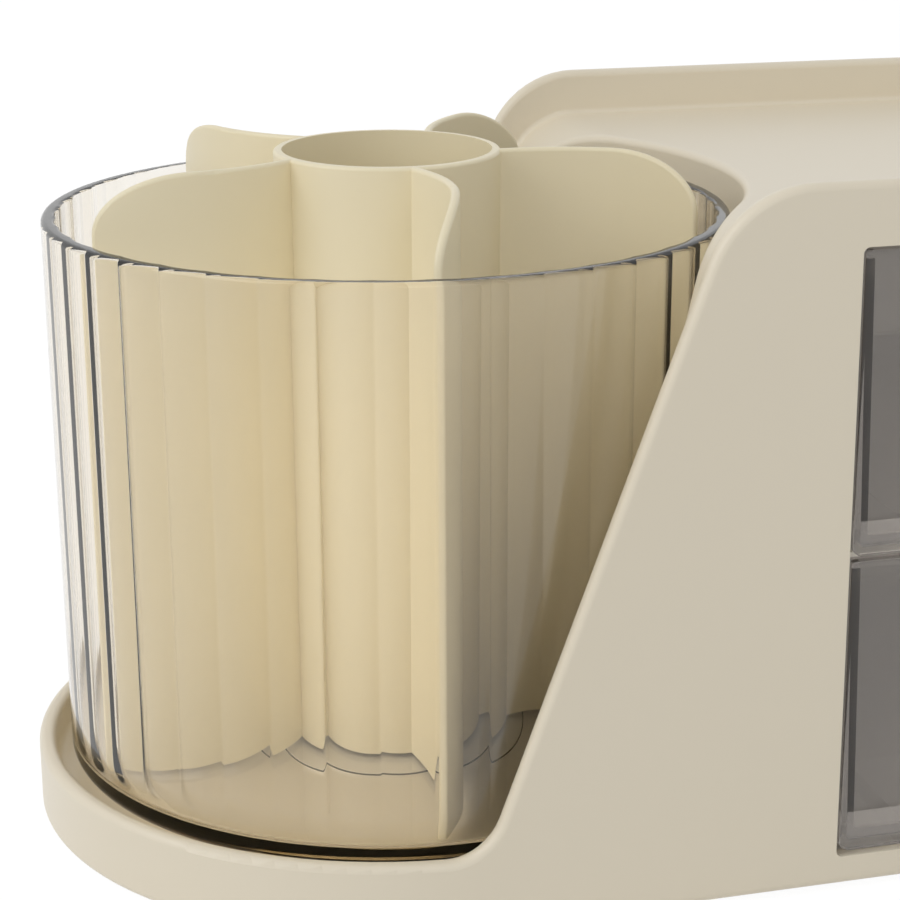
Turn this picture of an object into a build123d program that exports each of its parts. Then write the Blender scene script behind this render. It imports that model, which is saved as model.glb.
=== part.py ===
"""Rotating desk organizer: a cream housing with two drawers and a turning pen cup.

All sizes are millimetres. The organizer stands on the table: z is up, x runs along the drawers to
the right, the drawers open towards -y, and the origin is under the middle of the whole object.
"""

from build123d import *
import math
import os

# Overall size
overall_length = 226.0
overall_depth = 113.0
overall_height = 106.4

# Housing
outer_wall = 2.4
well_wall = 1.6
rim_width = 2.6
rim_round = 1.15
floor_fillet = 0.9
base_edge_round = 1.4
end_corner_radius = 12.0
top_tray_depth = 7.6
top_floor_thickness = 1.4
tray_rim_height = 11.4
tray_floor_thickness = 1.8
tray_floor_fillet = 1.2
wing_foot_offset = 0.3
wing_lean = 20.4
wing_foot_fillet = 8.5
wing_shoulder_radius = 16.2
hollow_behind_wing = 5.0
hollow_shoulder_radius = 12.0
core_start = 26.0

# Underside
foot_proud = 1.0
foot_recess = 0.8
foot_radius = 5.0
foot_edge_round = 0.4
foot_inset = 10.0
corner_foot_shift = 2.0
tray_foot_circle = 45.0
tray_foot_angle = 35.0
plate_thickness = 2.0
plate_clearance = 0.2
under_tray_gap = 2.2
boss_radius = 2.6
boss_sink = 0.4
boss_web_width = 2.0
tray_boss_circle = 40.0
side_boss_offset = 30.0
side_boss_height = 12.0
screw_head_radius = 2.2
screw_head_height = 0.9
screw_shank_radius = 1.1
screw_shank_length = 3.8
screw_clearance = 0.15
screw_slot_depth = 0.4
screw_slot_reach = 0.6
screw_slot_half_width = 0.15
screw_seat = 0.9
screw_end_gap = 0.4

# Turntable under the cup
turntable_radius = 46.0
turntable_thickness = 1.6
spigot_radius = 22.0
spigot_height = 1.0
spigot_clearance = 0.1
stub_radius = 6.0
shaft_clearance = 0.08
axial_play = 0.1
table_edge_bevel = 0.4
spigot_bevel = 0.3
pivot_hole_spare = 0.3
thrust_ring_inner_radius = 18.0
thrust_ring_outer_radius = 26.0
thrust_ring_thickness = 0.6
washer_radius = 9.5
washer_thickness = 0.8
pivot_head_radius = 4.2
pivot_head_height = 1.0
pivot_shank_radius = 1.5
pivot_shank_length = 3.4

# Cup
cup_well_clearance = 1.9
cup_rim_below_top = 11.4
cup_draft_run = 0.6
cup_wall = 2.0
cup_floor_thickness = 2.4
cup_foot_round = 2.2
cup_rim_round = 0.8
cup_seat_gap = 0.1
flute_count = 40
flute_depth = 0.3
flute_land = 0.25
flute_first_angle = -1.85
flute_end_height = 1.6

# Divider
divider_above_rim = 8.9
divider_seat_gap = 0.3
divider_edge_round = 0.55
vane_reach = 47.1
vane_count = 5
vane_thickness = 1.3
vane_first_angle = -14.8
vane_bend_radius = 30.0
vane_bend_along = 26.5
vane_bend_across = -29.2
vane_shoulder_run = 12.9
tube_top_radius = 17.2
tube_base_radius = 16.5
tube_wall = 1.3

# Drawers
opening_left_offset = 53.4
opening_right_margin = 10.2
opening_bar_height = 4.7
opening_top_gap = 0.1
opening_corner_radius = 1.0
panel_side_gap = 0.6
panel_end_gap = 0.5
panel_stack_gap = 0.6
lower_panel_top_height = 50.6
panel_recess = 0.4
panel_thickness = 2.2
panel_lower_corner = 1.8
panel_upper_corner = 0.6
panel_edge_round = 0.35
tub_wall = 1.3
tub_floor_thickness = 1.8
tub_side_inset = 0.6
tub_draft = 1.5
tub_plan_taper = 1.5
tub_above_panel_foot = 0.5
tub_below_panel_top = 1.5
tub_corner_radius = 4.0
tub_floor_round = 1.6
tub_back_clearance = 0.8
lip_width = 0.45
lip_height = 3.7
lip_length = 8.0
scoop_width = 34.0
scoop_depth = 7.0
scoop_corner_radius = 6.3

# Drawer cage
cage_wall = 1.4
cage_side_gap = 0.4
cage_back_gap = 0.4
cage_front_gap = 0.5
cage_top_gap = 0.2
cage_well_gap = 0.3
shelf_thickness = 1.5
shelf_above_lower_tub = 0.5
fence_end = 22.0
runner_width = 2.0
runner_inset = 14.0
runner_gap = 0.3

# Working allowances: how far joined solids run into each other, and cutters past a face
overlap = 0.5
overcut = 1.0

# The largest slip when an edge is looked up by its place
near = 0.001

# Places that follow from the sizes above
base_bottom = foot_proud
housing_radius = overall_depth / 2
well_radius = housing_radius - rim_width
well_back_radius = well_radius + well_wall
axis_x = -(overall_length - overall_depth) / 2
right_end = overall_length / 2
inner_depth = housing_radius - outer_wall
top_floor = overall_height - top_tray_depth
top_floor_underside = top_floor - top_floor_thickness
rim_plane = base_bottom + tray_rim_height
plate_top = base_bottom + plate_thickness
tray_floor_underside = plate_top + under_tray_gap
tray_floor = tray_floor_underside + tray_floor_thickness
table_underside = tray_floor + thrust_ring_thickness + axial_play
table_top = table_underside + turntable_thickness
stub_end = tray_floor_underside - axial_play
cup_bottom = table_top + cup_seat_gap
cup_rim = overall_height - cup_rim_below_top
cup_floor = cup_bottom + cup_floor_thickness
cup_rim_radius = well_radius - cup_well_clearance
cup_foot_radius = cup_rim_radius - cup_draft_run
divider_bottom = cup_floor + divider_seat_gap
divider_top = cup_rim + divider_above_rim
opening_left = axis_x + opening_left_offset
opening_right = right_end - opening_right_margin
opening_bottom = base_bottom + opening_bar_height
opening_top = top_floor_underside - opening_top_gap
panel_left = opening_left + panel_side_gap
panel_right = opening_right - panel_side_gap
panel_front = -housing_radius + panel_recess
panel_back = panel_front + panel_thickness
lower_foot = opening_bottom + panel_end_gap
lower_top = base_bottom + lower_panel_top_height
upper_foot = lower_top + panel_stack_gap
upper_top = opening_top - panel_end_gap
cage_left = opening_left
cage_right = opening_right + cage_side_gap
cage_back = inner_depth - cage_back_gap
cage_front = panel_back + cage_front_gap
shelf_underside = lower_top - tub_below_panel_top + shelf_above_lower_tub
shelf_top = shelf_underside + shelf_thickness
tub_back = cage_back - cage_wall - tub_back_clearance


def around(radius, angle):
    """A point in plan on a circle about the cup's axis, the angle in degrees from +x."""
    turn = math.radians(angle)
    return (axis_x + radius * math.cos(turn), radius * math.sin(turn))


def upright(sketch, bottom, top):
    """A plan sketch made solid between two heights."""
    return extrude(Pos(0, 0, bottom) * sketch, amount=top - bottom)


def disc(radius, bottom, top, x=axis_x, y=0.0):
    """A round solid between two heights, about the cup's axis unless a place is given."""
    standing = (Align.CENTER, Align.CENTER, Align.MIN)
    return Pos(x, y, bottom) * Cylinder(radius, top - bottom, align=standing)


def block(x_span, y_span, z_span):
    """A plain block from its lowest and highest value along each axis."""
    spans = (x_span, y_span, z_span)
    middle = [(span[0] + span[1]) / 2 for span in spans]
    size = [span[1] - span[0] for span in spans]
    return Pos(*middle) * Box(*size)


def turned(profile):
    """A profile of (radius, height) points turned about the cup's axis."""
    face = make_face(Polyline(*[(r, 0, z) for r, z in profile], close=True))
    return Pos(axis_x, 0, 0) * revolve(face, Axis.Z)


def plan(inset=0.0):
    """The housing from above: a round left end, straight sides and rounded right corners."""
    reach = right_end - inset - axis_x
    half = housing_radius - inset
    body = Pos(axis_x + reach / 2, 0) * Rectangle(reach, 2 * half)
    corners = body.vertices().group_by(Axis.X)[-1]
    body = fillet(corners, end_corner_radius - inset)
    return body + Pos(axis_x, 0) * Circle(half)


def over_line(foot, lean, top, shoulder_radius, foot_fillet=0.0):
    """The space over a level line, a line that leans up from the foot point and a level top."""
    foot_x, foot_z = foot
    shoulder_x = foot_x + (top - foot_z) * math.tan(math.radians(lean))
    far = overall_length
    points = [
        (-far, foot_z),
        (foot_x, foot_z),
        (shoulder_x, top),
        (far, top),
        (far, top + far),
        (-far, top + far),
    ]
    side = make_face(Polyline(*points, close=True))
    if foot_fillet:
        corner = side.vertices().sort_by_distance((foot_x, foot_z))[0]
        side = fillet(corner, foot_fillet)
    shoulder = side.vertices().sort_by_distance((shoulder_x, top))[0]
    return fillet(shoulder, shoulder_radius)


def above_the_wings():
    """The space over the tray rim and the leaning wing edges."""
    foot = (axis_x + wing_foot_offset, rim_plane)
    side = over_line(foot, wing_lean, overall_height, wing_shoulder_radius, wing_foot_fillet)
    return extrude(Plane.XZ * side, amount=overall_depth, both=True)


def above_the_hollow(grown=0.0):
    """The space over the top floor and its rolled left end, which runs down behind the wings."""
    low = tray_floor_underside
    lean = math.radians(wing_lean)
    behind = wing_foot_offset - (rim_plane - low) * math.tan(lean) + hollow_behind_wing / math.cos(lean)
    side = over_line((axis_x + behind, low), wing_lean, top_floor, hollow_shoulder_radius)
    if grown:
        side = offset(side, grown)
    return extrude(Plane.XZ * side, amount=overall_depth, both=True)


def lies_at(edge, height):
    """Whether an edge lies flat at a height."""
    box = edge.bounding_box()
    return abs(box.min.Z - height) < near and abs(box.max.Z - height) < near


def from_axis(edge):
    """How far the middle of an edge is from the cup's axis, in plan."""
    middle = edge.position_at(0.5)
    return math.hypot(middle.X - axis_x, middle.Y)


def on_rim(edge):
    """Whether an edge of the housing belongs to its rims, outside or inside, above the tray."""
    middle = edge.position_at(0.5)
    if edge.bounding_box().min.Z < rim_plane - near or lies_at(edge, top_floor):
        return False
    beside = abs(middle.Y)
    on_side = abs(beside - housing_radius) < near and middle.X < right_end
    on_tray = abs(from_axis(edge) - housing_radius) < near and middle.X < axis_x + 1
    on_well = abs(from_axis(edge) - well_radius) < near
    on_pocket = abs(beside - well_radius) < near and middle.X < right_end - end_corner_radius - near
    on_end = lies_at(edge, overall_height) and middle.X > right_end - end_corner_radius
    return on_side or on_tray or on_well or on_pocket or on_end


def housing_form():
    """The housing's outside with the cup's well and the tray on top, its edges softened."""
    shell = upright(plan(), base_bottom, overall_height) - above_the_wings()
    shell = shell - upright(plan(rim_width), tray_floor, overall_height)
    shell = fillet(shell.edges().group_by(Axis.Z)[0], base_edge_round)
    shell = fillet([edge for edge in shell.edges() if on_rim(edge)], rim_round)
    shell = fillet([edge for edge in shell.edges() if lies_at(edge, tray_floor)], tray_floor_fillet)
    body = shell + well_block()
    return fillet([edge for edge in body.edges() if on_floor_side(edge)], floor_fillet)


def well_block():
    """The block between the rims: the wall behind the cup, the top floor and its rounded lip."""
    low = tray_floor - tray_floor_thickness / 2
    body = upright(plan(rim_width / 2), low, overall_height) - above_the_hollow()
    body = body - disc(well_radius, 0, overall_height)
    lip = [edge for edge in body.edges() if on_lip(edge)]
    return fillet(lip, rim_round)


def on_lip(edge):
    """Whether an edge of the block runs along the well, from the foot of its lean up to the floor."""
    box = edge.bounding_box()
    standing = box.max.X - box.min.X < near
    off_well = max(abs(math.hypot(p.X - axis_x, p.Y) - well_radius) for p in (edge @ 0, edge @ 0.5, edge @ 1))
    return off_well < near and box.max.Z > tray_floor and not standing


def on_floor_side(edge):
    """Whether an edge lies where the top floor meets the inside of a rim."""
    middle = edge @ 0.5
    beside = abs(abs(middle.Y) - well_radius) < near
    at_end = middle.X > right_end - end_corner_radius
    return lies_at(edge, top_floor) and (beside or at_end)


def housing_core():
    """The hollow inside the housing: the drawer space, the wings and the room under the tray."""
    space = upright(plan(outer_wall), base_bottom, top_floor_underside)
    space = space - disc(well_back_radius, tray_floor_underside, overall_height)
    all_y = (-overall_depth, overall_depth)
    space = space & block((axis_x + core_start, right_end), all_y, (0, overall_height))
    space = space - above_the_hollow(top_floor_thickness)
    return space + upright(plan(outer_wall), base_bottom, tray_floor_underside)


def opening_cutter():
    """The one opening in the front that both drawers pass through."""
    middle = Pos((opening_left + opening_right) / 2, (opening_bottom + opening_top) / 2)
    size = (opening_right - opening_left, opening_top - opening_bottom)
    outline = middle * RectangleRounded(*size, opening_corner_radius)
    return Pos(0, overlap - inner_depth, 0) * extrude(Plane.XZ * outline, amount=2 * outer_wall)


def boss_places():
    """Where the screws of the bottom plate go: three under the tray, two beside the drawers."""
    tray = [around(tray_boss_circle, angle) for angle in (90, 180, 270)]
    side_x = right_end - outer_wall - boss_radius + boss_sink
    return tray + [(side_x, -side_boss_offset), (side_x, side_boss_offset)]


def make_housing():
    """The cream housing: tray, wings, curved wall behind the cup and the tray on top in one."""
    body = housing_form() - housing_core() - opening_cutter()
    places = boss_places()
    for x, y in places[:3]:
        body = body + disc(boss_radius, plate_top, tray_floor_underside + overlap, x, y)
    side_top = plate_top + side_boss_height
    for x, y in places[3:]:
        half_web = boss_web_width / 2
        web_x = (x, right_end - outer_wall + overlap)
        web = block(web_x, (y - half_web, y + half_web), (plate_top, side_top))
        body = body + disc(boss_radius, plate_top, side_top, x, y) + web
    for x, y in places:
        body = body - disc(screw_shank_radius, 0, plate_top + screw_shank_length - screw_seat, x, y)
    return body - disc(stub_radius + shaft_clearance, 0, overall_height)


def foot_places():
    """The six feet by name: four under the drawers and two under the round end."""
    side = housing_radius - foot_inset
    middle = opening_left + runner_inset
    return {
        "foot_front_right": (right_end - foot_inset, corner_foot_shift - side),
        "foot_back_right": (right_end - foot_inset, side - corner_foot_shift),
        "foot_front_middle": (middle, -side),
        "foot_back_middle": (middle, side),
        "foot_tray_front": around(tray_foot_circle, 180 + tray_foot_angle),
        "foot_tray_back": around(tray_foot_circle, 180 - tray_foot_angle),
    }


def make_bottom_plate():
    """The plate that closes the underside, with runners for the lower drawer on its top."""
    body = upright(plan(outer_wall + plate_clearance), base_bottom, plate_top)
    runner_top = lower_foot + tub_above_panel_foot - runner_gap
    for x in (opening_left + runner_inset, opening_right - runner_inset):
        across = (x - runner_width / 2, x + runner_width / 2)
        body = body + block(across, (cage_front, tub_back), (plate_top - overlap, runner_top))
    for place in foot_places().values():
        body = body - disc(foot_radius, 0, base_bottom + foot_recess, *place)
    for place in boss_places():
        body = body - disc(screw_head_radius + screw_clearance, 0, plate_top - screw_seat, *place)
        body = body - disc(screw_shank_radius + screw_clearance, 0, overall_height, *place)
    return body


def make_foot(place):
    """A round rubber foot, its lower edge softened, seated in the bottom plate."""
    foot = disc(foot_radius, 0, base_bottom + foot_recess, *place)
    return fillet(foot.edges().group_by(Axis.Z)[0], foot_edge_round)


def screw(head_radius, head_height, shank_radius, shank_length, under_head, place):
    """A screw standing head down, its bevelled head crossed by a driver slot."""
    head_low = under_head - head_height
    head = disc(head_radius, head_low, under_head, *place)
    head = chamfer(head.edges().group_by(Axis.Z)[0], head_height / 3)
    long = screw_slot_reach * head_radius
    short = screw_slot_half_width * head_radius
    deep = (head_low - overcut, head_low + screw_slot_depth)
    cross = block((-long, long), (-short, short), deep) + block((-short, short), (-long, long), deep)
    shank = disc(shank_radius, under_head - head_height / 2, under_head + shank_length, *place)
    return head + shank - Pos(*place) * cross


def make_bottom_screws():
    """The five identical screws of the bottom plate."""
    reach = screw_shank_length - screw_end_gap
    size = (screw_head_radius, screw_head_height, screw_shank_radius, reach)
    return [screw(*size, plate_top - screw_seat, place) for place in boss_places()]


def make_turntable():
    """The disc that carries the cup: a locating spigot on top and a stub shaft below."""
    body = disc(turntable_radius, table_underside, table_top)
    body = chamfer(body.edges().group_by(Axis.Z)[-1], table_edge_bevel)
    spigot = disc(spigot_radius, table_underside, table_top + spigot_height)
    spigot = chamfer(spigot.edges().group_by(Axis.Z)[-1], spigot_bevel)
    body = body + spigot + disc(stub_radius, stub_end, table_underside + overlap)
    return body - disc(pivot_shank_radius, 0, stub_end + pivot_shank_length + pivot_hole_spare)


def make_thrust_ring():
    """The thin slip ring the turntable runs on, lying on the tray floor."""
    ring = disc(thrust_ring_outer_radius, tray_floor, tray_floor + thrust_ring_thickness)
    return ring - disc(thrust_ring_inner_radius, 0, overall_height)


def make_retaining_washer():
    """The washer under the tray floor that keeps the stub shaft from lifting out."""
    washer = disc(washer_radius, stub_end - washer_thickness, stub_end)
    return washer - disc(pivot_shank_radius + screw_clearance, 0, overall_height)


def make_pivot_screw():
    """The screw that holds the washer to the stub shaft."""
    under = stub_end - washer_thickness
    reach = pivot_shank_length + washer_thickness
    return screw(pivot_head_radius, pivot_head_height, pivot_shank_radius, reach, under, (axis_x, 0))


def flute_cutter(angle):
    """One shallow groove of the cup's inner wall, rounded at its foot and open at the rim."""
    ridge = cup_rim_radius - cup_wall - flute_depth
    half_width = math.pi * ridge / flute_count - flute_land / 2
    radius = (half_width**2 + flute_depth**2) / (2 * flute_depth)
    slope = cup_draft_run / (cup_rim - cup_bottom)
    low = cup_floor + flute_end_height + half_width
    out = ridge + flute_depth - radius - slope * (cup_rim - low)
    groove = Cylinder(radius, overall_height, align=(Align.CENTER, Align.CENTER, Align.MIN))
    depth = 2 * flute_depth
    lens = block((radius - depth, radius + overcut), (-radius, radius), (-radius, overall_height))
    groove = Rot(0, math.degrees(math.atan(slope)), 0) * ((groove + Sphere(radius)) & lens)
    return Pos(axis_x, 0, 0) * Rot(0, 0, angle) * Pos(out, 0, low) * groove


def make_cup():
    """The clear cup: smooth outside, rounded foot and rim, shallow flutes all round inside."""
    top = cup_rim + overcut
    inner_rim = cup_rim_radius - cup_wall - flute_depth
    inner_foot = cup_foot_radius - cup_wall - flute_depth
    body = turned([(0, cup_bottom), (cup_foot_radius, cup_bottom), (cup_rim_radius, cup_rim), (0, cup_rim)])
    body = fillet(body.edges().group_by(Axis.Z)[0], cup_foot_round)
    body = fillet(body.edges().group_by(Axis.Z)[-1], cup_rim_round)
    void = turned([(0, cup_floor), (inner_foot, cup_floor), (inner_rim, cup_rim), (inner_rim, top), (0, top)])
    void = fillet(void.edges().group_by(Axis.Z)[0], cup_foot_round / 2)
    body = body - void
    body = body - [flute_cutter(flute_first_angle + 360 / flute_count * n) for n in range(flute_count)]
    recess = spigot_radius + spigot_clearance
    return body - disc(recess, 0, table_top + spigot_height + spigot_clearance)


def vane_envelope():
    """The round space the vanes fill, its upper outer edge a quarter of an ellipse."""
    inner = vane_reach - vane_shoulder_run
    drop = divider_top - cup_rim
    corner = EllipticalCenterArc((inner, cup_rim), vane_shoulder_run, drop, 0, arc_size=90)
    tube_side = [(inner, divider_top), (0, divider_top), (0, divider_bottom)]
    rest = Polyline(*tube_side, (vane_reach, divider_bottom), (vane_reach, cup_rim))
    return revolve(Plane.XZ * make_face(corner + rest), Axis.Z)


def vane_band():
    """One vane, pointing along +x from the tube's middle: a thin upright arc."""
    outer = Circle(vane_bend_radius + vane_thickness / 2)
    inner = Circle(vane_bend_radius - vane_thickness / 2)
    ring = Pos(vane_bend_along, vane_bend_across) * (outer - inner)
    start = tube_base_radius - tube_wall / 2
    reach = vane_reach + overcut - start
    window = Pos(start + reach / 2, vane_bend_across + vane_bend_radius) * Rectangle(reach, vane_bend_radius)
    vane = extrude(ring & window, amount=overall_height) & vane_envelope()
    return fillet([edge for edge in vane.edges() if on_vane_rim(edge)], divider_edge_round)


def on_vane_rim(edge):
    """Whether a long edge of a vane lies on its top, its shoulder or its outer end."""
    middle = edge @ 0.5
    above = middle.Z > cup_rim
    at_end = middle.X > vane_bend_along + vane_shoulder_run and middle.Z > cup_floor
    return edge.length > 2 * vane_thickness and (above or at_end)


def make_divider():
    """The insert that parts the cup: an open tube with curved vanes around it."""
    wall_base = tube_base_radius - tube_wall
    wall_top = tube_top_radius - tube_wall
    slope = (tube_top_radius - tube_base_radius) / (divider_top - divider_bottom)
    profile = [
        (0, divider_bottom),
        (tube_base_radius, divider_bottom),
        (tube_top_radius, divider_top),
        (0, divider_top),
    ]
    body = turned(profile)
    body = fillet(body.edges().group_by(Axis.Z)[-1], divider_edge_round)
    vane = vane_band()
    for n in range(vane_count):
        turn = vane_first_angle + 360 / vane_count * n
        body = body + Pos(axis_x, 0, 0) * Rot(0, 0, turn) * vane
    bore = [
        (0, divider_bottom - overcut),
        (wall_base - slope * overcut, divider_bottom - overcut),
        (wall_top + slope * overcut, divider_top + overcut),
        (0, divider_top + overcut),
    ]
    return body - turned(bore)


def tub_form(foot, top, front, inset):
    """A drafted box for a drawer's tub between two heights, inset from the tub's outside."""
    taper = math.tan(math.radians(tub_plan_taper)) * (tub_back - front)
    left = panel_left + tub_side_inset + inset
    right = panel_right - tub_side_inset - inset
    back = tub_back - inset
    corners = [(left, front), (right, front), (right - taper, back), (left + taper, back)]
    face = make_face(Polyline(*corners, close=True))
    face = fillet(face.vertices().group_by(Axis.Y)[-1], tub_corner_radius - inset)
    return extrude(Pos(0, 0, top) * face, amount=top - foot, dir=(0, 0, -1), taper=tub_draft)


def make_drawer(foot, top):
    """A clear drawer in one moulding: flush panel, tub behind it, corner lips, finger scoop."""
    middle = (panel_left + panel_right) / 2
    outline = Pos(middle, (foot + top) / 2) * Rectangle(panel_right - panel_left, top - foot)
    outline = fillet(outline.vertices().group_by(Axis.Y)[0], panel_lower_corner)
    outline = fillet(outline.vertices().group_by(Axis.Y)[-1], panel_upper_corner)
    panel = Pos(0, panel_back, 0) * extrude(Plane.XZ * outline, amount=panel_thickness)
    panel = fillet(panel.faces().sort_by(Axis.Y)[0].edges(), panel_edge_round)
    tub_foot = foot + tub_above_panel_foot
    tub_top = top - tub_below_panel_top
    tub = tub_form(tub_foot, tub_top, panel_back - overcut, 0)
    lowest = tub.edges().group_by(Axis.Z)[0]
    behind = [edge for edge in lowest if edge.position_at(0.5).Y > panel_back]
    tub = fillet(behind, tub_floor_round)
    room = tub_form(tub_foot + tub_floor_thickness, tub_top + overcut, panel_back, tub_wall)
    room = fillet(room.edges().group_by(Axis.Z)[0], tub_floor_round / 2)
    body = panel + tub - room
    tall = (tub_top - lip_height, tub_top)
    long_way = (panel_back - overlap, panel_back + lip_length)
    left = panel_left + tub_side_inset
    right = panel_right - tub_side_inset
    body = body + block((left - lip_width, left + overlap), long_way, tall)
    body = body + block((right - overlap, right + lip_width), long_way, tall)
    scoop = Pos(middle, top) * RectangleRounded(scoop_width, 2 * scoop_depth, scoop_corner_radius)
    return body - Pos(0, panel_back + tub_wall / 2, 0) * extrude(Plane.XZ * scoop, amount=overall_depth)


def make_drawer_cage():
    """The inner frame: right wall, back wall, left fences and the shelf for the upper drawer."""
    ceiling = top_floor_underside - cage_top_gap
    tall = (plate_top, ceiling)
    right = block((cage_right, cage_right + cage_wall), (cage_front, cage_back), tall)
    left_x = (cage_left - cage_wall, cage_left)
    front_fence = block(left_x, (cage_front, -fence_end), tall)
    back_fence = block(left_x, (fence_end, cage_back), tall)
    back = block((cage_left - cage_wall, cage_right + cage_wall), (cage_back - cage_wall, cage_back), tall)
    shelf_x = (cage_left - cage_wall, cage_right + cage_wall)
    shelf = block(shelf_x, (cage_front, cage_back), (shelf_underside, shelf_top))
    body = right + back + shelf + front_fence + back_fence
    runner_top = upper_foot + tub_above_panel_foot - runner_gap
    for x in (opening_left + runner_inset, opening_right - runner_inset):
        across = (x - runner_width / 2, x + runner_width / 2)
        body = body + block(across, (cage_front, tub_back), (shelf_top - overlap, runner_top))
    body = body & upright(plan(outer_wall + cage_back_gap), 0, overall_height)
    return body - disc(well_back_radius + cage_well_gap, 0, overall_height)


os.makedirs("parts", exist_ok=True)
pieces = {
    "housing": make_housing(),
    "bottom_plate": make_bottom_plate(),
    "bottom_screws": Compound(children=make_bottom_screws()),
    "drawer_cage": make_drawer_cage(),
    "upper_drawer": make_drawer(upper_foot, upper_top),
    "lower_drawer": make_drawer(lower_foot, lower_top),
    "turntable": make_turntable(),
    "thrust_ring": make_thrust_ring(),
    "retaining_washer": make_retaining_washer(),
    "pivot_screw": make_pivot_screw(),
    "cup": make_cup(),
    "divider": make_divider(),
}
for name, place in foot_places().items():
    pieces[name] = make_foot(place)
for name, piece in pieces.items():
    export_step(piece, f"parts/{name}.step")
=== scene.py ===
"""Looks of a rotating desk organizer: cream mouldings, clear fluted cup and clear drawers."""

import logging
import math
from dataclasses import dataclass, field
from enum import Enum
from typing import Any, Sequence

import bpy
import numpy as np
from mathutils import Matrix, Vector

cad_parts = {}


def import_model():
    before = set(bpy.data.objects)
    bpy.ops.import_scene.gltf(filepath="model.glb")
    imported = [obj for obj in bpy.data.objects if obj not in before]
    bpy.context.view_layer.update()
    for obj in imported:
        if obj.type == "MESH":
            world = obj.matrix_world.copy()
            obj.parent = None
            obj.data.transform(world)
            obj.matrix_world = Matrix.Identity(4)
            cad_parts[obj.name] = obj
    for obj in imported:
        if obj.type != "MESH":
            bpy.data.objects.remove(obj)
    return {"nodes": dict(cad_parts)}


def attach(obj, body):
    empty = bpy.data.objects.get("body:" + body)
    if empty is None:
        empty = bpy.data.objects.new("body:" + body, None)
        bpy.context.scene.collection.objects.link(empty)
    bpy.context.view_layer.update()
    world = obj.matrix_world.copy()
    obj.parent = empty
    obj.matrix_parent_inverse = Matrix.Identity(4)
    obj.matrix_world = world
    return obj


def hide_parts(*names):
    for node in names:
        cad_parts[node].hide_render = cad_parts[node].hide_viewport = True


log = logging.getLogger("organizer")
MM = 0.001
STRAIGHT = 0.001  # a corner that turns less than this, in radians, stays as it is
Colour = tuple[float, float, float]
Nodes = dict[str, Any]


class Wire:
    """A value in a shader: a node's output socket with arithmetic on it."""

    def __init__(self, sheet: "ShaderSheet", socket: Any) -> None:
        """Keeps the socket and the sheet that adds nodes.

        Args:
            sheet: where new nodes go.
            socket: the output that this value stands for.
        """
        self.sheet = sheet
        self.socket = socket

    def _math(self, operation: str, first: Any, second: Any) -> "Wire":
        """One Math node on two values or numbers."""
        return self.sheet.add("ShaderNodeMath", {"operation": operation}, {0: first, 1: second})

    def __add__(self, other: Any) -> "Wire":
        """This plus other."""
        return self._math("ADD", self, other)

    def __radd__(self, other: Any) -> "Wire":
        """Other plus this."""
        return self._math("ADD", other, self)

    def __sub__(self, other: Any) -> "Wire":
        """This minus other."""
        return self._math("SUBTRACT", self, other)

    def __rsub__(self, other: Any) -> "Wire":
        """Other minus this."""
        return self._math("SUBTRACT", other, self)

    def __mul__(self, other: Any) -> "Wire":
        """This times other."""
        return self._math("MULTIPLY", self, other)

    def __rmul__(self, other: Any) -> "Wire":
        """Other times this."""
        return self._math("MULTIPLY", other, self)

    def __truediv__(self, other: Any) -> "Wire":
        """This over other."""
        return self._math("DIVIDE", self, other)

    def __rtruediv__(self, other: Any) -> "Wire":
        """Other over this."""
        return self._math("DIVIDE", other, self)

    def at_most(self, other: Any) -> "Wire":
        """The smaller of this and other."""
        return self._math("MINIMUM", self, other)

    def at_least(self, other: Any) -> "Wire":
        """The larger of this and other."""
        return self._math("MAXIMUM", self, other)


class ShaderSheet:
    """A node tree, of a material or of the world, filled through a single method."""

    def __init__(self, owner: Any) -> None:
        """Empties the owner's nodes.

        Args:
            owner: the material or world that the nodes belong to.
        """
        owner.use_nodes = True
        self.owner = owner
        self.tree = owner.node_tree
        self.tree.nodes.clear()

    def add(
        self,
        kind: str,
        settings: dict[str, Any] | None = None,
        sockets: dict[Any, Any] | None = None,
        output: Any = 0,
    ) -> Wire:
        """Adds a node, sets it up and joins it.

        Args:
            kind: the node's type.
            settings: its properties, such as a Math node's operation.
            sockets: values or wires for its inputs, by name or number.
            output: which of its outputs the result stands for.

        Returns:
            The chosen output as a wire.
        """
        node = self.tree.nodes.new(kind)
        for key, value in (settings or {}).items():
            setattr(node, key, value)
        for key, value in (sockets or {}).items():
            if isinstance(value, Wire):
                self.tree.links.new(value.socket, node.inputs[key])
            else:
                node.inputs[key].default_value = value
        return Wire(self, node.outputs[output] if len(node.outputs) else None)

    def noise(self, scale: float, detail: float = 2.0) -> Wire:
        """Soft noise from 0 to 1 on the object's own place, at a scale per metre."""
        place = self.add("ShaderNodeTexCoord", output="Object")
        return self.add("ShaderNodeTexNoise", {}, {"Vector": place, "Scale": scale, "Detail": detail})

    def blend(self, amount: Any, first: Colour, second: Colour) -> Wire:
        """A colour between two, by an amount from 0 to 1."""
        sockets = {0: amount, 6: (*first, 1.0), 7: (*second, 1.0)}
        return self.add("ShaderNodeMix", {"data_type": "RGBA"}, sockets, 2)

    def bump(self, height: Wire, strength: float, distance: float) -> Wire:
        """A normal that follows a height, with a strength and a distance in metres."""
        sockets = {"Strength": strength, "Distance": distance, "Height": height}
        return self.add("ShaderNodeBump", {}, sockets)

    def principled(self, sockets: dict[str, Any]) -> Wire:
        """A Principled shader with these sockets."""
        return self.add("ShaderNodeBsdfPrincipled", {}, sockets)

    def seen_rays(self) -> Wire:
        """One for camera, glossy and transmitted rays, and nothing for the others.

        Returns:
            That share as a wire.
        """
        kinds = ("Is Camera Ray", "Is Glossy Ray", "Is Transmission Ray")
        camera, glossy, through = (self.add("ShaderNodeLightPath", output=kind) for kind in kinds)
        return camera.at_least(glossy).at_least(through)


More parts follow.
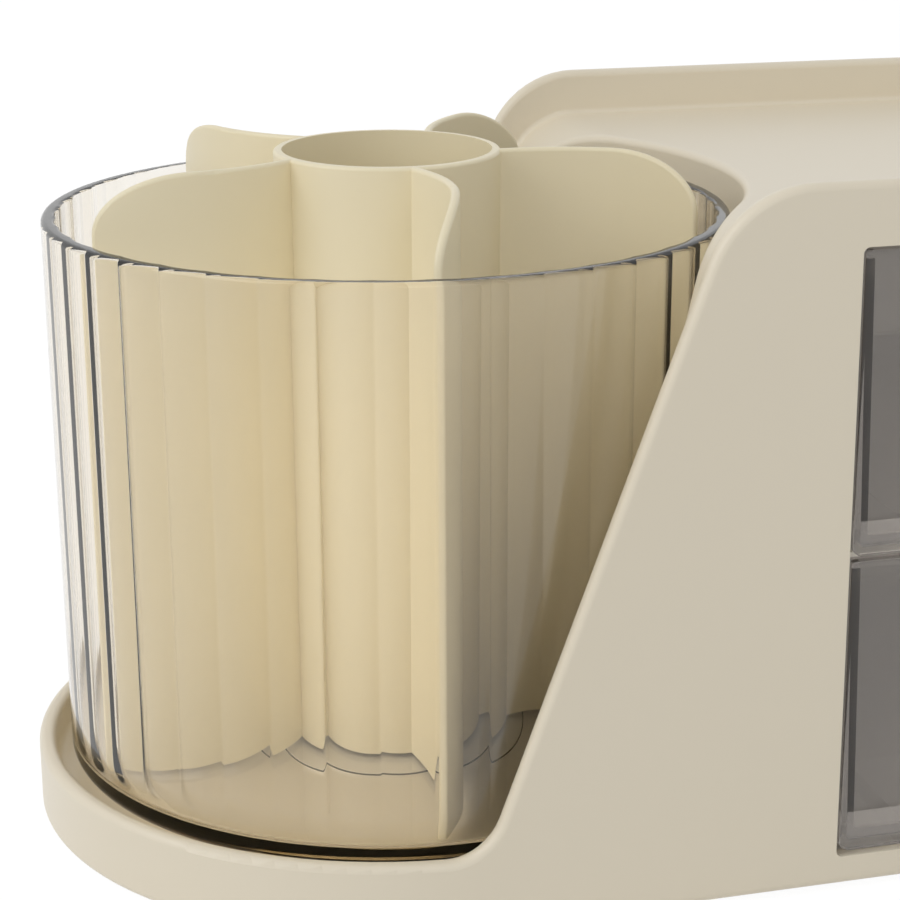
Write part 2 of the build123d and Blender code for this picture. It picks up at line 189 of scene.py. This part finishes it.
def new_material(name: str) -> ShaderSheet:
    """An empty material of that name, as the sheet that fills it."""
    return ShaderSheet(bpy.data.materials.new(name))


def surface_only(sheet: ShaderSheet, surface: Wire) -> bpy.types.Material:
    """Joins a surface to the material's output.

    Args:
        sheet: the material's sheet.
        surface: the shader that it shows.

    Returns:
        The finished material.
    """
    sheet.add("ShaderNodeOutputMaterial", {}, {"Surface": surface})
    return sheet.owner


class Moulding(Enum):
    """Which cream moulding a piece is, with its name, colour, cloud colour and roughness."""

    SHELL = ("cream shell", (0.85, 0.772, 0.622), (0.835, 0.757, 0.605), 0.36)
    DIVIDER = ("cream divider", (0.90, 0.81, 0.58), (0.885, 0.795, 0.565), 0.38)
    # The inner moulding is a lighter copy of the shell's cream, painted light: it brightens the
    # turntable, drawer cage and bottom plate, which sit in shade.
    INNER_PAINTED_LIGHT = ("cream inner moulding with painted light", (0.90, 0.86, 0.77), (0.885, 0.845, 0.755), 0.5)
    SLIP = ("slip plastic", (0.82, 0.82, 0.80), (0.80, 0.80, 0.78), 0.4)


@dataclass(frozen=True)
class CreamPlastic:
    """Moulded plastic: an even colour with faint flow clouds and a fine satin grain."""

    moulding: Moulding
    cloud_scale: float = 14.0
    grain_scale: float = 2600.0
    grain: float = 0.05
    grain_depth: float = 0.00006
    smoothest: float = -0.05
    cloud_roughness: float = 0.06
    grain_roughness: float = 0.05
    cloud_detail: float = 3.0

    def build(self) -> bpy.types.Material:
        """Makes the material.

        Returns:
            The finished material.
        """
        name, colour, shade, roughness = self.moulding.value
        sheet = new_material(name)
        cloud = sheet.noise(self.cloud_scale, self.cloud_detail)
        speck = sheet.noise(self.grain_scale)
        uneven = cloud * self.cloud_roughness + speck * self.grain_roughness
        sockets = {
            "Base Color": sheet.blend(cloud, shade, colour),
            "Roughness": roughness + self.smoothest + uneven,
            "Normal": sheet.bump(speck, self.grain, self.grain_depth),
        }
        return surface_only(sheet, sheet.principled(sockets))


class Clarity(Enum):
    """Which clear moulding a piece is: name, tint, tint per metre, waviness, shadow colour and haze."""

    CUP = ("clear warm plastic", (0.80, 0.68, 0.42), 70.0, 0.018, (0.99, 0.98, 0.96), 0.0)
    DRAWER = ("clear smoky plastic", (0.48, 0.45, 0.43), 60.0, 0.012, (0.99, 0.985, 0.98), 0.18)


@dataclass(frozen=True)
class ClearPlastic:
    """Clear polished plastic with a faint tint and the slight waviness of a moulding."""

    clarity: Clarity
    glass_colour: Colour = (0.97, 0.96, 0.95)
    refraction: float = 1.49
    roughness: float = 0.01
    wave_roughness: float = 0.02
    wave_scale: float = 55.0
    wave_detail: float = 1.5
    wave_depth: float = 0.0008
    haze_start: float = -55.2
    haze_rise: float = 2000.0
    haze_colour: Colour = (0.92, 0.85, 0.78)

    def build(self) -> bpy.types.Material:
        """Makes the material.

        Returns:
            The finished material.
        """
        name, tint, density, waviness, shadow, haze = self.clarity.value
        sheet = new_material(name)
        wave = sheet.noise(self.wave_scale, self.wave_detail)
        glass = sheet.principled(
            {
                "Base Color": (*self.glass_colour, 1.0),
                "Roughness": self.roughness + wave * self.wave_roughness,
                "IOR": self.refraction,
                "Transmission Weight": 1.0,
                "Normal": sheet.bump(wave, waviness, self.wave_depth),
            }
        )
        if haze:
            # Only what lies behind the panel's front face is hazy, so a wall seen end on stays dark.
            place = sheet.add("ShaderNodeTexCoord", output="Object")
            depth = sheet.add("ShaderNodeSeparateXYZ", {}, {0: place}, "Y") - self.haze_start * MM
            share = (depth * self.haze_rise).at_least(0.0).at_most(1.0) * haze
            milk = sheet.add("ShaderNodeBsdfDiffuse", {}, {"Color": (*self.haze_colour, 1.0)})
            glass = sheet.add("ShaderNodeMixShader", {}, {0: share, 1: glass, 2: milk})
        open_way = sheet.add("ShaderNodeBsdfTransparent", {}, {"Color": (*shadow, 1.0)})
        path = sheet.add("ShaderNodeLightPath", output="Is Shadow Ray")
        both = sheet.add("ShaderNodeMixShader", {}, {0: path, 1: glass, 2: open_way})
        body = sheet.add("ShaderNodeVolumeAbsorption", {}, {"Color": (*tint, 1.0), "Density": density})
        sheet.add("ShaderNodeOutputMaterial", {}, {"Surface": both, "Volume": body})
        return sheet.owner


@dataclass(frozen=True)
class Rubber:
    """Dull dark rubber with a powdery grain."""

    name: str = "foot rubber"
    dark: Colour = (0.012, 0.012, 0.012)
    light: Colour = (0.03, 0.03, 0.03)
    roughness: float = 0.75
    uneven: float = 0.15
    grain_scale: float = 3000.0
    grain_detail: float = 3.0
    grain: float = 0.3
    grain_depth: float = 0.0001

    def build(self) -> bpy.types.Material:
        """Makes the material.

        Returns:
            The finished material.
        """
        sheet = new_material(self.name)
        grain = sheet.noise(self.grain_scale, self.grain_detail)
        sockets = {
            "Base Color": sheet.blend(grain, self.dark, self.light),
            "Roughness": self.roughness + grain * self.uneven,
            "Normal": sheet.bump(grain, self.grain, self.grain_depth),
        }
        return surface_only(sheet, sheet.principled(sockets))


@dataclass(frozen=True)
class PlatedSteel:
    """Zinc-plated steel with fine turning marks."""

    name: str = "plated steel"
    dark: Colour = (0.45, 0.45, 0.46)
    light: Colour = (0.62, 0.62, 0.63)
    roughness: float = 0.28
    uneven: float = 0.2
    mark_scale: float = 1800.0
    mark: float = 0.1
    mark_depth: float = 0.00005

    def build(self) -> bpy.types.Material:
        """Makes the material.

        Returns:
            The finished material.
        """
        sheet = new_material(self.name)
        marks = sheet.noise(self.mark_scale)
        sockets = {
            "Base Color": sheet.blend(marks, self.dark, self.light),
            "Metallic": 1.0,
            "Roughness": self.roughness + marks * self.uneven,
            "Normal": sheet.bump(marks, self.mark, self.mark_depth),
        }
        return surface_only(sheet, sheet.principled(sockets))


@dataclass
class Finishes:
    """Every finish of the organizer, each made once."""

    shell: bpy.types.Material = field(init=False)
    divider: bpy.types.Material = field(init=False)
    inner: bpy.types.Material = field(init=False)
    slip: bpy.types.Material = field(init=False)
    cup: bpy.types.Material = field(init=False)
    drawer: bpy.types.Material = field(init=False)
    rubber: bpy.types.Material = field(init=False)
    steel: bpy.types.Material = field(init=False)

    def __post_init__(self) -> None:
        """Makes the materials."""
        self.shell = CreamPlastic(Moulding.SHELL).build()
        self.divider = CreamPlastic(Moulding.DIVIDER).build()
        # A lighter cream than the shell's, painted light for the parts that sit in shade.
        self.inner = CreamPlastic(Moulding.INNER_PAINTED_LIGHT).build()
        self.slip = CreamPlastic(Moulding.SLIP).build()
        self.cup = ClearPlastic(Clarity.CUP).build()
        self.drawer = ClearPlastic(Clarity.DRAWER).build()
        self.rubber = Rubber().build()
        self.steel = PlatedSteel().build()


def dress(thing: bpy.types.Object, material: bpy.types.Material) -> None:
    """Gives a piece one material in place of what it has, and reports it.

    Args:
        thing: the piece.
        material: its new material.
    """
    thing.data.materials.clear()
    thing.data.materials.append(material)
    log.info("dressed %s in %s", thing.name, material.name)


def rounded_path(
    corners: Sequence[tuple[float, float]], radii: Sequence[float], steps: int = 8
) -> np.ndarray:
    """A path through corners, each rounded by an arc that touches both of its sides.

    With a and b the unit directions from a corner to its neighbours and h half the angle between
    them, the arc's middle lies radius / sin(h) along a + b, and the arc runs between the two
    points radius / tan(h) along a and b.

    Args:
        corners: the corner points in order.
        radii: one radius per corner, zero to keep a point as it is.
        steps: how many pieces each arc has.

    Returns:
        The path's points, one per row.
    """
    points = np.asarray(corners, dtype=float)
    path = [points[:1]]
    for before, corner, after, radius in zip(points, points[1:], points[2:], radii[1:]):
        first = (before - corner) / np.linalg.norm(before - corner)
        second = (after - corner) / np.linalg.norm(after - corner)
        half = math.acos(float(np.clip(first @ second, -1, 1))) / 2
        if radius == 0 or half > math.pi / 2 - STRAIGHT:
            path.append(corner[None])
            continue
        bisector = (first + second) / np.linalg.norm(first + second)
        middle = corner + bisector * radius / math.sin(half)
        start = corner + first * radius / math.tan(half) - middle
        end = corner + second * radius / math.tan(half) - middle
        share = np.linspace(0, 1, steps + 1)[:, None]
        sweep = math.pi - 2 * half
        arc = (np.sin((1 - share) * sweep) * start + np.sin(share * sweep) * end) / math.sin(sweep)
        path.append(middle + arc)
    path.append(points[-1:])
    return np.concatenate(path)


def split_runs(path: np.ndarray, longest: float) -> np.ndarray:
    """Splits the long straight runs of a path, closer together near a run's ends.

    A run of n pieces is split at the shares (1 - cos(pi * k / n)) / 2 of its length.

    Args:
        path: the path's points, one per row.
        longest: a run up to this length stays whole.

    Returns:
        The path with its added points.
    """
    steps = np.diff(path, axis=0)
    counts = np.ceil(np.linalg.norm(steps, axis=1) / longest).astype(int).clip(1)
    run = np.repeat(np.arange(len(counts)), counts)
    place = np.arange(len(run)) - np.repeat(np.cumsum(counts) - counts, counts)
    share = (1 - np.cos(math.pi * place / counts[run])) / 2
    return np.concatenate([path[run] + share[:, None] * steps[run], path[-1:]])


def closed_lathe(
    name: str, rings: np.ndarray, low_pole: np.ndarray, high_pole: np.ndarray
) -> bpy.types.Object:
    """A closed smooth piece from rings of points, with a single point at either end.

    Corner (i, j) of the grid joins (i, j + 1), (i + 1, j + 1) and (i + 1, j), where j wraps round,
    and triangles join the first and the last ring to the two poles.

    Args:
        name: the piece's name.
        rings: points in metres, as rings by points round by three.
        low_pole: the point before the first ring.
        high_pole: the point after the last ring.

    Returns:
        The piece, linked into the scene, its faces outwards.
    """
    count, round_about = rings.shape[:2]
    points = np.concatenate([rings.reshape(-1, 3), low_pole[None], high_pole[None]])
    index = np.arange(count * round_about).reshape(count, round_about)
    beside = np.roll(index, -1, axis=1)
    quads = np.stack([index[:-1], beside[:-1], beside[1:], index[1:]], axis=-1).reshape(-1, 4)
    low, high = len(points) - 2, len(points) - 1
    first = np.stack([np.full(round_about, low), beside[0], index[0]], axis=-1)
    last = np.stack([np.full(round_about, high), index[-1], beside[-1]], axis=-1)
    fans = np.concatenate([first, last])
    halves = np.concatenate([quads[:, [0, 1, 2]], quads[:, [0, 2, 3]], fans])
    a, b, c = (points[halves[:, k]] for k in range(3))
    volume = np.einsum("ij,ij->i", a, np.cross(b, c)).sum() / 6
    if volume < 0:
        quads, fans = quads[:, ::-1], fans[:, ::-1]
    mesh = bpy.data.meshes.new(name)
    loops = np.concatenate([quads.ravel(), fans.ravel()])
    sizes = np.concatenate([np.full(len(quads), 4), np.full(len(fans), 3)])
    starts = np.concatenate([[0], np.cumsum(sizes)[:-1]])
    mesh.vertices.add(len(points))
    mesh.vertices.foreach_set("co", points.astype(np.float32).ravel())
    mesh.loops.add(len(loops))
    mesh.loops.foreach_set("vertex_index", loops.astype(np.int32))
    mesh.polygons.add(len(sizes))
    mesh.polygons.foreach_set("loop_start", starts.astype(np.int32))
    mesh.polygons.foreach_set("loop_total", sizes.astype(np.int32))
    mesh.update(calc_edges=True)
    mesh.validate()
    mesh.shade_smooth()
    piece = bpy.data.objects.new(name, mesh)
    bpy.context.scene.collection.objects.link(piece)
    log.info("built %s, %d faces", name, len(mesh.polygons))
    return piece


@dataclass
class FlutedCup:
    """The clear turning cup and what carries it. Sizes are in millimetres."""

    nodes: Nodes
    finishes: Finishes
    axis_x: float = -56.5
    bottom: float = 9.4
    floor: float = 11.8
    rim: float = 95.0
    foot_radius: float = 51.4
    rim_radius: float = 52.0
    wall: float = 2.0
    foot_round: float = 2.2
    inner_foot_round: float = 1.1
    rim_round: float = 0.8
    inner_rim_round: float = 0.5
    recess_radius: float = 22.1
    recess_top: float = 10.4
    flute_count: int = 40
    flute_depth: float = 0.3
    flute_land: float = 0.25
    flute_end_height: float = 1.6
    first_flute: float = -1.85
    points_per_flute: int = 12
    small_round: float = 0.15
    longest_run: float = 2.2

    def build(self) -> None:
        """Makes the cup's smooth body and dresses it with its turntable and slip ring."""
        cup = self._body()
        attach(cup, "rotor")
        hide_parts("cup")
        dress(cup, self.finishes.cup)
        # The turntable gets the lighter cream, painted light in the shade under the cup.
        dress(self.nodes["turntable"], self.finishes.inner)
        dress(self.nodes["thrust_ring"], self.finishes.slip)
        dress(self.nodes["retaining_washer"], self.finishes.steel)
        dress(self.nodes["pivot_screw"], self.finishes.steel)
        log.info("cup ready")

    def _profile(self) -> tuple[np.ndarray, np.ndarray]:
        """The section from the middle underneath, up outside and down inside to the middle.

        Returns:
            Its points of radius and height, and for each the share of the flutes that it takes.
        """
        depth = self.wall + self.flute_depth
        ridge_foot, ridge_rim = self.foot_radius - depth, self.rim_radius - depth
        outside = [
            (0.0, self.recess_top),
            (self.recess_radius, self.recess_top),
            (self.recess_radius, self.bottom),
            (self.foot_radius, self.bottom),
            (self.rim_radius, self.rim),
            (ridge_rim, self.rim),
            (ridge_foot, self.floor),
            (0.0, self.floor),
        ]
        small = self.small_round
        outer_radii = [0, small, small, self.foot_round, self.rim_round]
        radii = [*outer_radii, self.inner_rim_round, self.inner_foot_round, 0]
        path = split_runs(rounded_path(outside, radii), self.longest_run)
        rim_flat = self.rim_radius - self.rim_round, ridge_rim + self.inner_rim_round
        fluted = np.clip((rim_flat[0] - path[:, 0]) / (rim_flat[0] - rim_flat[1]), 0, 1)
        inside = np.arange(len(path)) >= np.argmax(path[:, 1])
        return path, np.where(inside & (path[:, 1] > self.floor + self.flute_end_height), fluted, 0)

    def _body(self) -> bpy.types.Object:
        """The cup as rings round its axis.

        Across a flute, x from its middle and h its half width, the groove is depth times
        1 - (x / h) squared. Within h of its foot the height below that counts as x does, so the
        groove ends in a round. The radius is the section's plus the groove.

        Returns:
            The cup's piece.
        """
        path, fluted = self._profile()
        path, fluted = path[1:-1], fluted[1:-1]
        ridge = self.rim_radius - self.wall - self.flute_depth
        half_width = math.pi * ridge / self.flute_count - self.flute_land / 2
        share = np.sin(np.linspace(-math.pi / 2, math.pi / 2, self.points_per_flute))
        across = np.tile(share * half_width, self.flute_count)
        middles = np.radians(self.first_flute + 360 / self.flute_count * np.arange(self.flute_count))
        turn = (middles[:, None] + share * half_width / ridge).ravel()
        low = self.floor + self.flute_end_height + half_width
        below = np.minimum(path[:, 1] - low, 0)[:, None]
        groove = self.flute_depth * np.clip(1 - (across**2 + below**2) / half_width**2, 0, None)
        radius = path[:, :1] + groove * fluted[:, None]
        height = np.broadcast_to(path[:, 1:], radius.shape)
        rings = np.stack([self.axis_x + radius * np.cos(turn), radius * np.sin(turn), height], axis=-1)
        under = np.array([self.axis_x, 0, self.recess_top])
        over = np.array([self.axis_x, 0, self.floor])
        return closed_lathe("fluted_cup", rings * MM, under * MM, over * MM)


@dataclass
class Divider:
    """The lift-out insert: a tube with five curved vanes."""

    nodes: Nodes
    finishes: Finishes

    def build(self) -> None:
        """Dresses the insert."""
        dress(self.nodes["divider"], self.finishes.divider)
        log.info("divider ready")


@dataclass
class Housing:
    """The cream housing with its bottom plate, screws and feet."""

    nodes: Nodes
    finishes: Finishes

    def build(self) -> None:
        """Dresses the housing and what closes its underside."""
        dress(self.nodes["housing"], self.finishes.shell)
        dress(self.nodes["bottom_plate"], self.finishes.inner)
        dress(self.nodes["bottom_screws"], self.finishes.steel)
        for name in sorted(self.nodes):
            if name.startswith("foot_"):
                dress(self.nodes[name], self.finishes.rubber)
        log.info("housing ready")


@dataclass
class DrawerStack:
    """The two clear drawers in their cage."""

    nodes: Nodes
    finishes: Finishes

    def build(self) -> None:
        """Dresses the cage and both drawers."""
        # The cage gets the lighter cream, painted light in the shade behind the drawers.
        dress(self.nodes["drawer_cage"], self.finishes.inner)
        dress(self.nodes["upper_drawer"], self.finishes.drawer)
        dress(self.nodes["lower_drawer"], self.finishes.drawer)
        log.info("drawers ready")


@dataclass(frozen=True)
class Lamp:
    """A square soft lamp: place, size and what it is aimed at in metres, power in watts."""

    name: str
    place: tuple[float, float, float]
    size: float
    power: float
    target: tuple[float, float, float] = (0.0, 0.0, 0.05)

    def build(self) -> None:
        """Makes the lamp."""
        data = bpy.data.lights.new(self.name, "AREA")
        data.shape = "SQUARE"
        data.size = self.size
        data.energy = self.power
        lamp = bpy.data.objects.new(self.name, data)
        lamp.location = self.place
        aim = Vector(self.target) - Vector(self.place)
        lamp.rotation_euler = aim.to_track_quat("-Z", "Y").to_euler()
        bpy.context.scene.collection.objects.link(lamp)


@dataclass
class Studio:
    """White floor and backdrop, soft lamps and the camera at the photograph's angle."""

    camera_place: tuple[float, float, float] = (-138.1, -352.9, 166.9)
    camera_aim: tuple[float, float, float] = (0.2652, 0.9187, -0.2926)
    camera_up: tuple[float, float, float] = (0.0781, 0.282, 0.9562)
    focal_length: float = 96.47
    sensor: float = 36.0
    shift: float = -0.0722
    floor_reach: float = 30.0
    floor_colour: float = 0.86
    floor_lift: float = 0.85
    floor_glow: float = 1.11
    soft_light: float = 0.53
    lamps: tuple[Lamp, ...] = (
        Lamp("key lamp", (-0.98, -0.22, 0.86), 0.9, 4.7),
        Lamp("front lamp", (0.0, -1.1, 0.5), 0.5, 0.9),
    )

    def build(self) -> None:
        """Makes the floor, the world, the lamps and the camera."""
        self._floor()
        self._world()
        for lamp in self.lamps:
            lamp.build()
        self._camera()
        bpy.context.scene.view_settings.view_transform = "Standard"
        log.info("studio ready")

    def _floor(self) -> None:
        """A wide white floor that keeps a light shadow and lifts to white where it is seen."""
        reach = self.floor_reach
        mesh = bpy.data.meshes.new("floor")
        corners = [(-reach, -reach, 0), (reach, -reach, 0), (reach, reach, 0), (-reach, reach, 0)]
        mesh.from_pydata(corners, [], [(0, 1, 2, 3)])
        floor = bpy.data.objects.new("floor", mesh)
        bpy.context.scene.collection.objects.link(floor)
        sheet = new_material("floor white")
        plain = sheet.add("ShaderNodeBsdfDiffuse", {}, {"Color": (*[self.floor_colour] * 3, 1.0)})
        glow = sheet.add("ShaderNodeEmission", {}, {"Strength": self.floor_glow})
        lift = sheet.seen_rays() * self.floor_lift
        both = sheet.add("ShaderNodeMixShader", {}, {0: lift, 1: plain, 2: glow})
        dress(floor, surface_only(sheet, both))

    def _world(self) -> None:
        """White where the camera, glass or gloss sees it, and a soft even light elsewhere."""
        world = bpy.data.worlds.new("studio")
        bpy.context.scene.world = world
        sheet = ShaderSheet(world)
        kind, colour = "ShaderNodeBackground", (1, 1, 1, 1)
        soft = sheet.add(kind, {}, {"Color": colour, "Strength": self.soft_light})
        white = sheet.add(kind, {}, {"Color": colour, "Strength": 1.0})
        both = sheet.add("ShaderNodeMixShader", {}, {0: sheet.seen_rays(), 1: soft, 2: white})
        sheet.add("ShaderNodeOutputWorld", {}, {"Surface": both})

    def _camera(self) -> None:
        """The camera, from its measured place, aim and upward direction."""
        data = bpy.data.cameras.new("camera")
        data.sensor_width = self.sensor
        data.lens = self.focal_length
        data.shift_x = self.shift
        camera = bpy.data.objects.new("camera", data)
        back = -Vector(self.camera_aim).normalized()
        right = Vector(self.camera_up).cross(back).normalized()
        turn = Matrix((right, back.cross(right), back)).transposed().to_4x4()
        camera.matrix_world = Matrix.Translation(Vector(self.camera_place) * MM) @ turn
        bpy.context.scene.collection.objects.link(camera)
        bpy.context.scene.camera = camera


def main() -> None:
    """Loads the frame, builds each sub-assembly in order and then the studio."""
    logging.basicConfig(level=logging.INFO, format="%(message)s")
    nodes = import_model()["nodes"]
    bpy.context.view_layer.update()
    finishes = Finishes()
    for part in (Housing, DrawerStack, FlutedCup, Divider):
        part(nodes, finishes).build()
    Studio().build()


if __name__ == "__main__":
    main()
